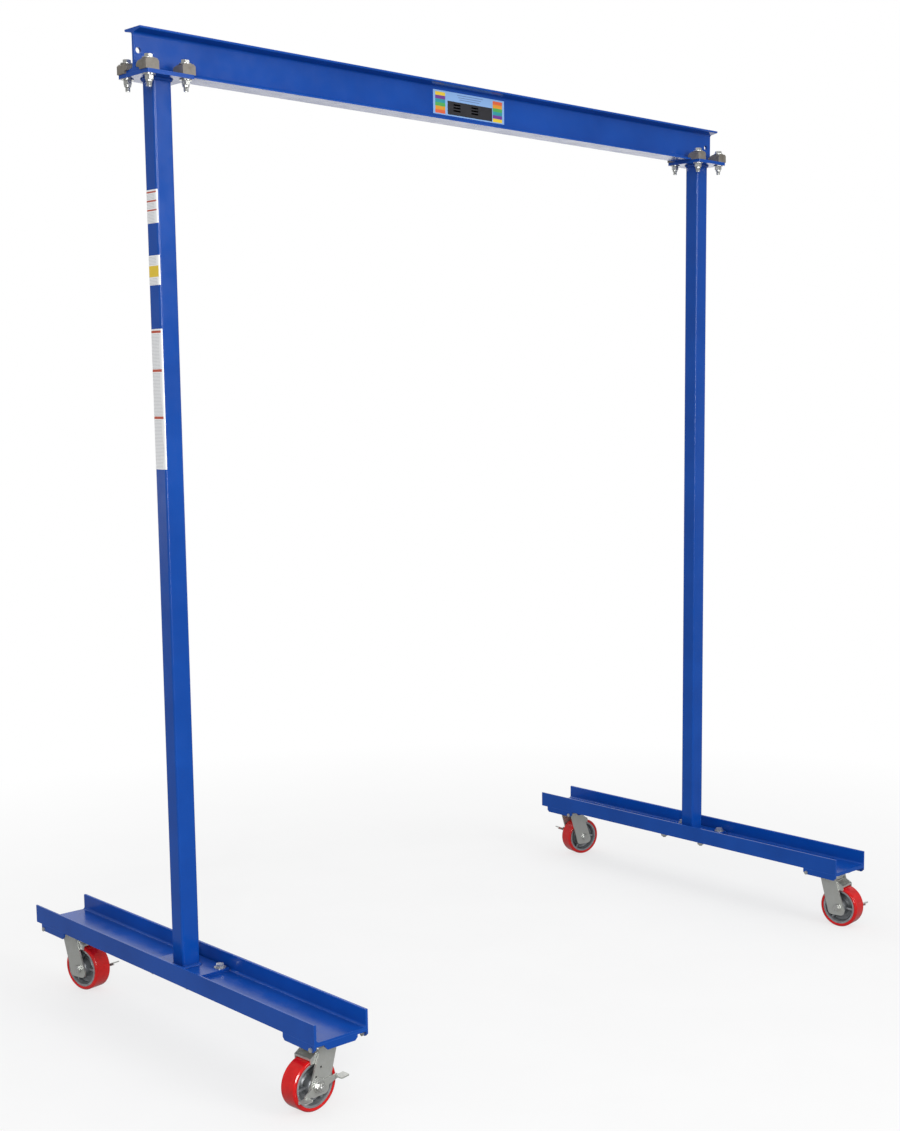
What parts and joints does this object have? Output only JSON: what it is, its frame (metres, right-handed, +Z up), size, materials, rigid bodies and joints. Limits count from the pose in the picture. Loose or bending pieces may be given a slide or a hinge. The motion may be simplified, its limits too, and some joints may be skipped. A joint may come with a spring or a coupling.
{
  "type": "portable gantry crane",
  "caption": "Fixed-height steel portal: an I-beam runway clamped across two square posts on channel feet, each foot rolling on braked swivel casters.",
  "frame": {"origin": "on the floor, under the middle of the beam and midway between the two base channels", "axes": "+X along the beam, +Y along the base channels, +Z up"},
  "size_m": [2.1802, 1.3599, 2.5148],
  "materials": {
    "blue_paint": "gloss enamel over rolled steel",
    "bare_casting": "unpainted, oiled",
    "zinc_fasteners": "bright zinc plate",
    "zinc_pressings": "satin zinc plate on pressed steel",
    "turned_steel": "turned and oiled",
    "grey_iron": "grey paint over casting skin",
    "red_polyurethane": "glossy moulded polyurethane"
  },
  "bodies": {
    "gantry_frame": {"beam": "blue_paint", "post_left": "blue_paint", "top_plate_left": "blue_paint", "sole_plate_left": "blue_paint", "base_channel_left": "blue_paint", "post_right": "blue_paint", "top_plate_right": "blue_paint", "sole_plate_right": "blue_paint", "base_channel_right": "blue_paint", "caster_bracket_front_left": "blue_paint", "caster_bracket_rear_left": "blue_paint", "caster_bracket_front_right": "blue_paint", "caster_bracket_rear_right": "blue_paint", "beam_clamps": "bare_casting", "clamp_bolts": "zinc_fasteners", "clamp_nuts": "zinc_fasteners", "sole_bolts": "zinc_fasteners", "sole_nuts": "zinc_fasteners", "caster_studs": "zinc_fasteners", "lip_bolts": "zinc_fasteners", "mount_plate_front_left": "zinc_pressings", "kingpin_front_left": "zinc_fasteners", "mount_plate_rear_left": "zinc_pressings", "kingpin_rear_left": "zinc_fasteners", "mount_plate_front_right": "zinc_pressings", "kingpin_front_right": "zinc_fasteners", "mount_plate_rear_right": "zinc_pressings", "kingpin_rear_right": "zinc_fasteners"},
    "swivel_front_left": {"fork_front_left": "zinc_pressings", "axle_bolt_front_left": "zinc_fasteners", "axle_bush_front_left": "turned_steel"},
    "wheel_front_left": {"wheel_bearing_front_left": "turned_steel", "wheel_core_front_left": "grey_iron", "tread_front_left": "red_polyurethane"},
    "lever_front_left": {"brake_lever_front_left": "zinc_pressings"},
    "shoe_front_left": {"brake_shoe_front_left": "zinc_pressings"},
    "swivel_rear_left": {"fork_rear_left": "zinc_pressings", "axle_bolt_rear_left": "zinc_fasteners", "axle_bush_rear_left": "turned_steel"},
    "wheel_rear_left": {"wheel_bearing_rear_left": "turned_steel", "wheel_core_rear_left": "grey_iron", "tread_rear_left": "red_polyurethane"},
    "lever_rear_left": {"brake_lever_rear_left": "zinc_pressings"},
    "shoe_rear_left": {"brake_shoe_rear_left": "zinc_pressings"},
    "swivel_front_right": {"fork_front_right": "zinc_pressings", "axle_bolt_front_right": "zinc_fasteners", "axle_bush_front_right": "turned_steel"},
    "wheel_front_right": {"wheel_bearing_front_right": "turned_steel", "wheel_core_front_right": "grey_iron", "tread_front_right": "red_polyurethane"},
    "lever_front_right": {"brake_lever_front_right": "zinc_pressings"},
    "shoe_front_right": {"brake_shoe_front_right": "zinc_pressings"},
    "swivel_rear_right": {"fork_rear_right": "zinc_pressings", "axle_bolt_rear_right": "zinc_fasteners", "axle_bush_rear_right": "turned_steel"},
    "wheel_rear_right": {"wheel_bearing_rear_right": "turned_steel", "wheel_core_rear_right": "grey_iron", "tread_rear_right": "red_polyurethane"},
    "lever_rear_right": {"brake_lever_rear_right": "zinc_pressings"},
    "shoe_rear_right": {"brake_shoe_rear_right": "zinc_pressings"}
  },
  "joints": [
    {"name": "swivel_front_left", "type": "hinge", "parent": "gantry_frame", "child": "swivel_front_left", "pos_m": [-0.984, -0.583, 0.1435], "axis": [0, 0, 1], "continuous": true},
    {"name": "wheel_spin_front_left", "type": "hinge", "parent": "swivel_front_left", "child": "wheel_front_left", "pos_m": [-1.0249, -0.58586, 0.0635], "axis": [0.0698, -0.9976, 0], "continuous": true},
    {"name": "brake_lever_front_left", "type": "hinge", "parent": "swivel_front_left", "child": "lever_front_left", "pos_m": [-1.0249, -0.58586, 0.0635], "axis": [0.0698, -0.9976, 0], "range_deg": [-25, 15]},
    {"name": "brake_shoe_front_left", "type": "hinge", "parent": "swivel_front_left", "child": "shoe_front_left", "pos_m": [-1.01393, -0.58509, 0.1435], "axis": [0.0698, -0.9976, 0], "range_deg": [-3.44, 2.06]},
    {"name": "swivel_rear_left", "type": "hinge", "parent": "gantry_frame", "child": "swivel_rear_left", "pos_m": [-0.984, 0.576, 0.1435], "axis": [0, 0, 1], "continuous": true},
    {"name": "wheel_spin_rear_left", "type": "hinge", "parent": "swivel_rear_left", "child": "wheel_rear_left", "pos_m": [-0.97548, 0.5359, 0.0635], "axis": [0.9781, 0.2079, 0], "continuous": true},
    {"name": "brake_lever_rear_left", "type": "hinge", "parent": "swivel_rear_left", "child": "lever_rear_left", "pos_m": [-0.97548, 0.5359, 0.0635], "axis": [0.9781, 0.2079, 0], "range_deg": [0, 40]},
    {"name": "brake_shoe_rear_left", "type": "hinge", "parent": "swivel_rear_left", "child": "shoe_rear_left", "pos_m": [-0.97776, 0.54666, 0.1435], "axis": [0.9781, 0.2079, 0], "range_deg": [0, 5.5]},
    {"name": "swivel_front_right", "type": "hinge", "parent": "gantry_frame", "child": "swivel_front_right", "pos_m": [0.984, -0.591, 0.1435], "axis": [0, 0, 1], "continuous": true},
    {"name": "wheel_spin_front_right", "type": "hinge", "parent": "swivel_front_right", "child": "wheel_front_right", "pos_m": [0.98971, -0.6316, 0.0635], "axis": [0.9903, 0.1392, 0], "continuous": true},
    {"name": "brake_lever_front_right", "type": "hinge", "parent": "swivel_front_right", "child": "lever_front_right", "pos_m": [0.98971, -0.6316, 0.0635], "axis": [0.9903, 0.1392, 0], "range_deg": [0, 40]},
    {"name": "brake_shoe_front_right", "type": "hinge", "parent": "swivel_front_right", "child": "shoe_front_right", "pos_m": [0.98818, -0.62071, 0.1435], "axis": [0.9903, 0.1392, 0], "range_deg": [0, 5.5]},
    {"name": "swivel_rear_right", "type": "hinge", "parent": "gantry_frame", "child": "swivel_rear_right", "pos_m": [0.984, 0.592, 0.1435], "axis": [0, 0, 1], "continuous": true},
    {"name": "wheel_spin_rear_right", "type": "hinge", "parent": "swivel_rear_right", "child": "wheel_rear_right", "pos_m": [1.02425, 0.58418, 0.0635], "axis": [0.1908, 0.9816, 0], "continuous": true},
    {"name": "brake_lever_rear_right", "type": "hinge", "parent": "swivel_rear_right", "child": "lever_rear_right", "pos_m": [1.02425, 0.58418, 0.0635], "axis": [0.1908, 0.9816, 0], "range_deg": [-40, 0]},
    {"name": "brake_shoe_rear_right", "type": "hinge", "parent": "swivel_rear_right", "child": "shoe_rear_right", "pos_m": [1.01345, 0.58628, 0.1435], "axis": [0.1908, 0.9816, 0], "range_deg": [-5.5, 0]}
  ],
  "couplings": [
    {"joint": "brake_shoe_front_left", "follows": "brake_lever_front_left", "ratio": 0.1375},
    {"joint": "brake_shoe_rear_left", "follows": "brake_lever_rear_left", "ratio": 0.1375},
    {"joint": "brake_shoe_front_right", "follows": "brake_lever_front_right", "ratio": 0.1375},
    {"joint": "brake_shoe_rear_right", "follows": "brake_lever_rear_right", "ratio": 0.1375}
  ]
}
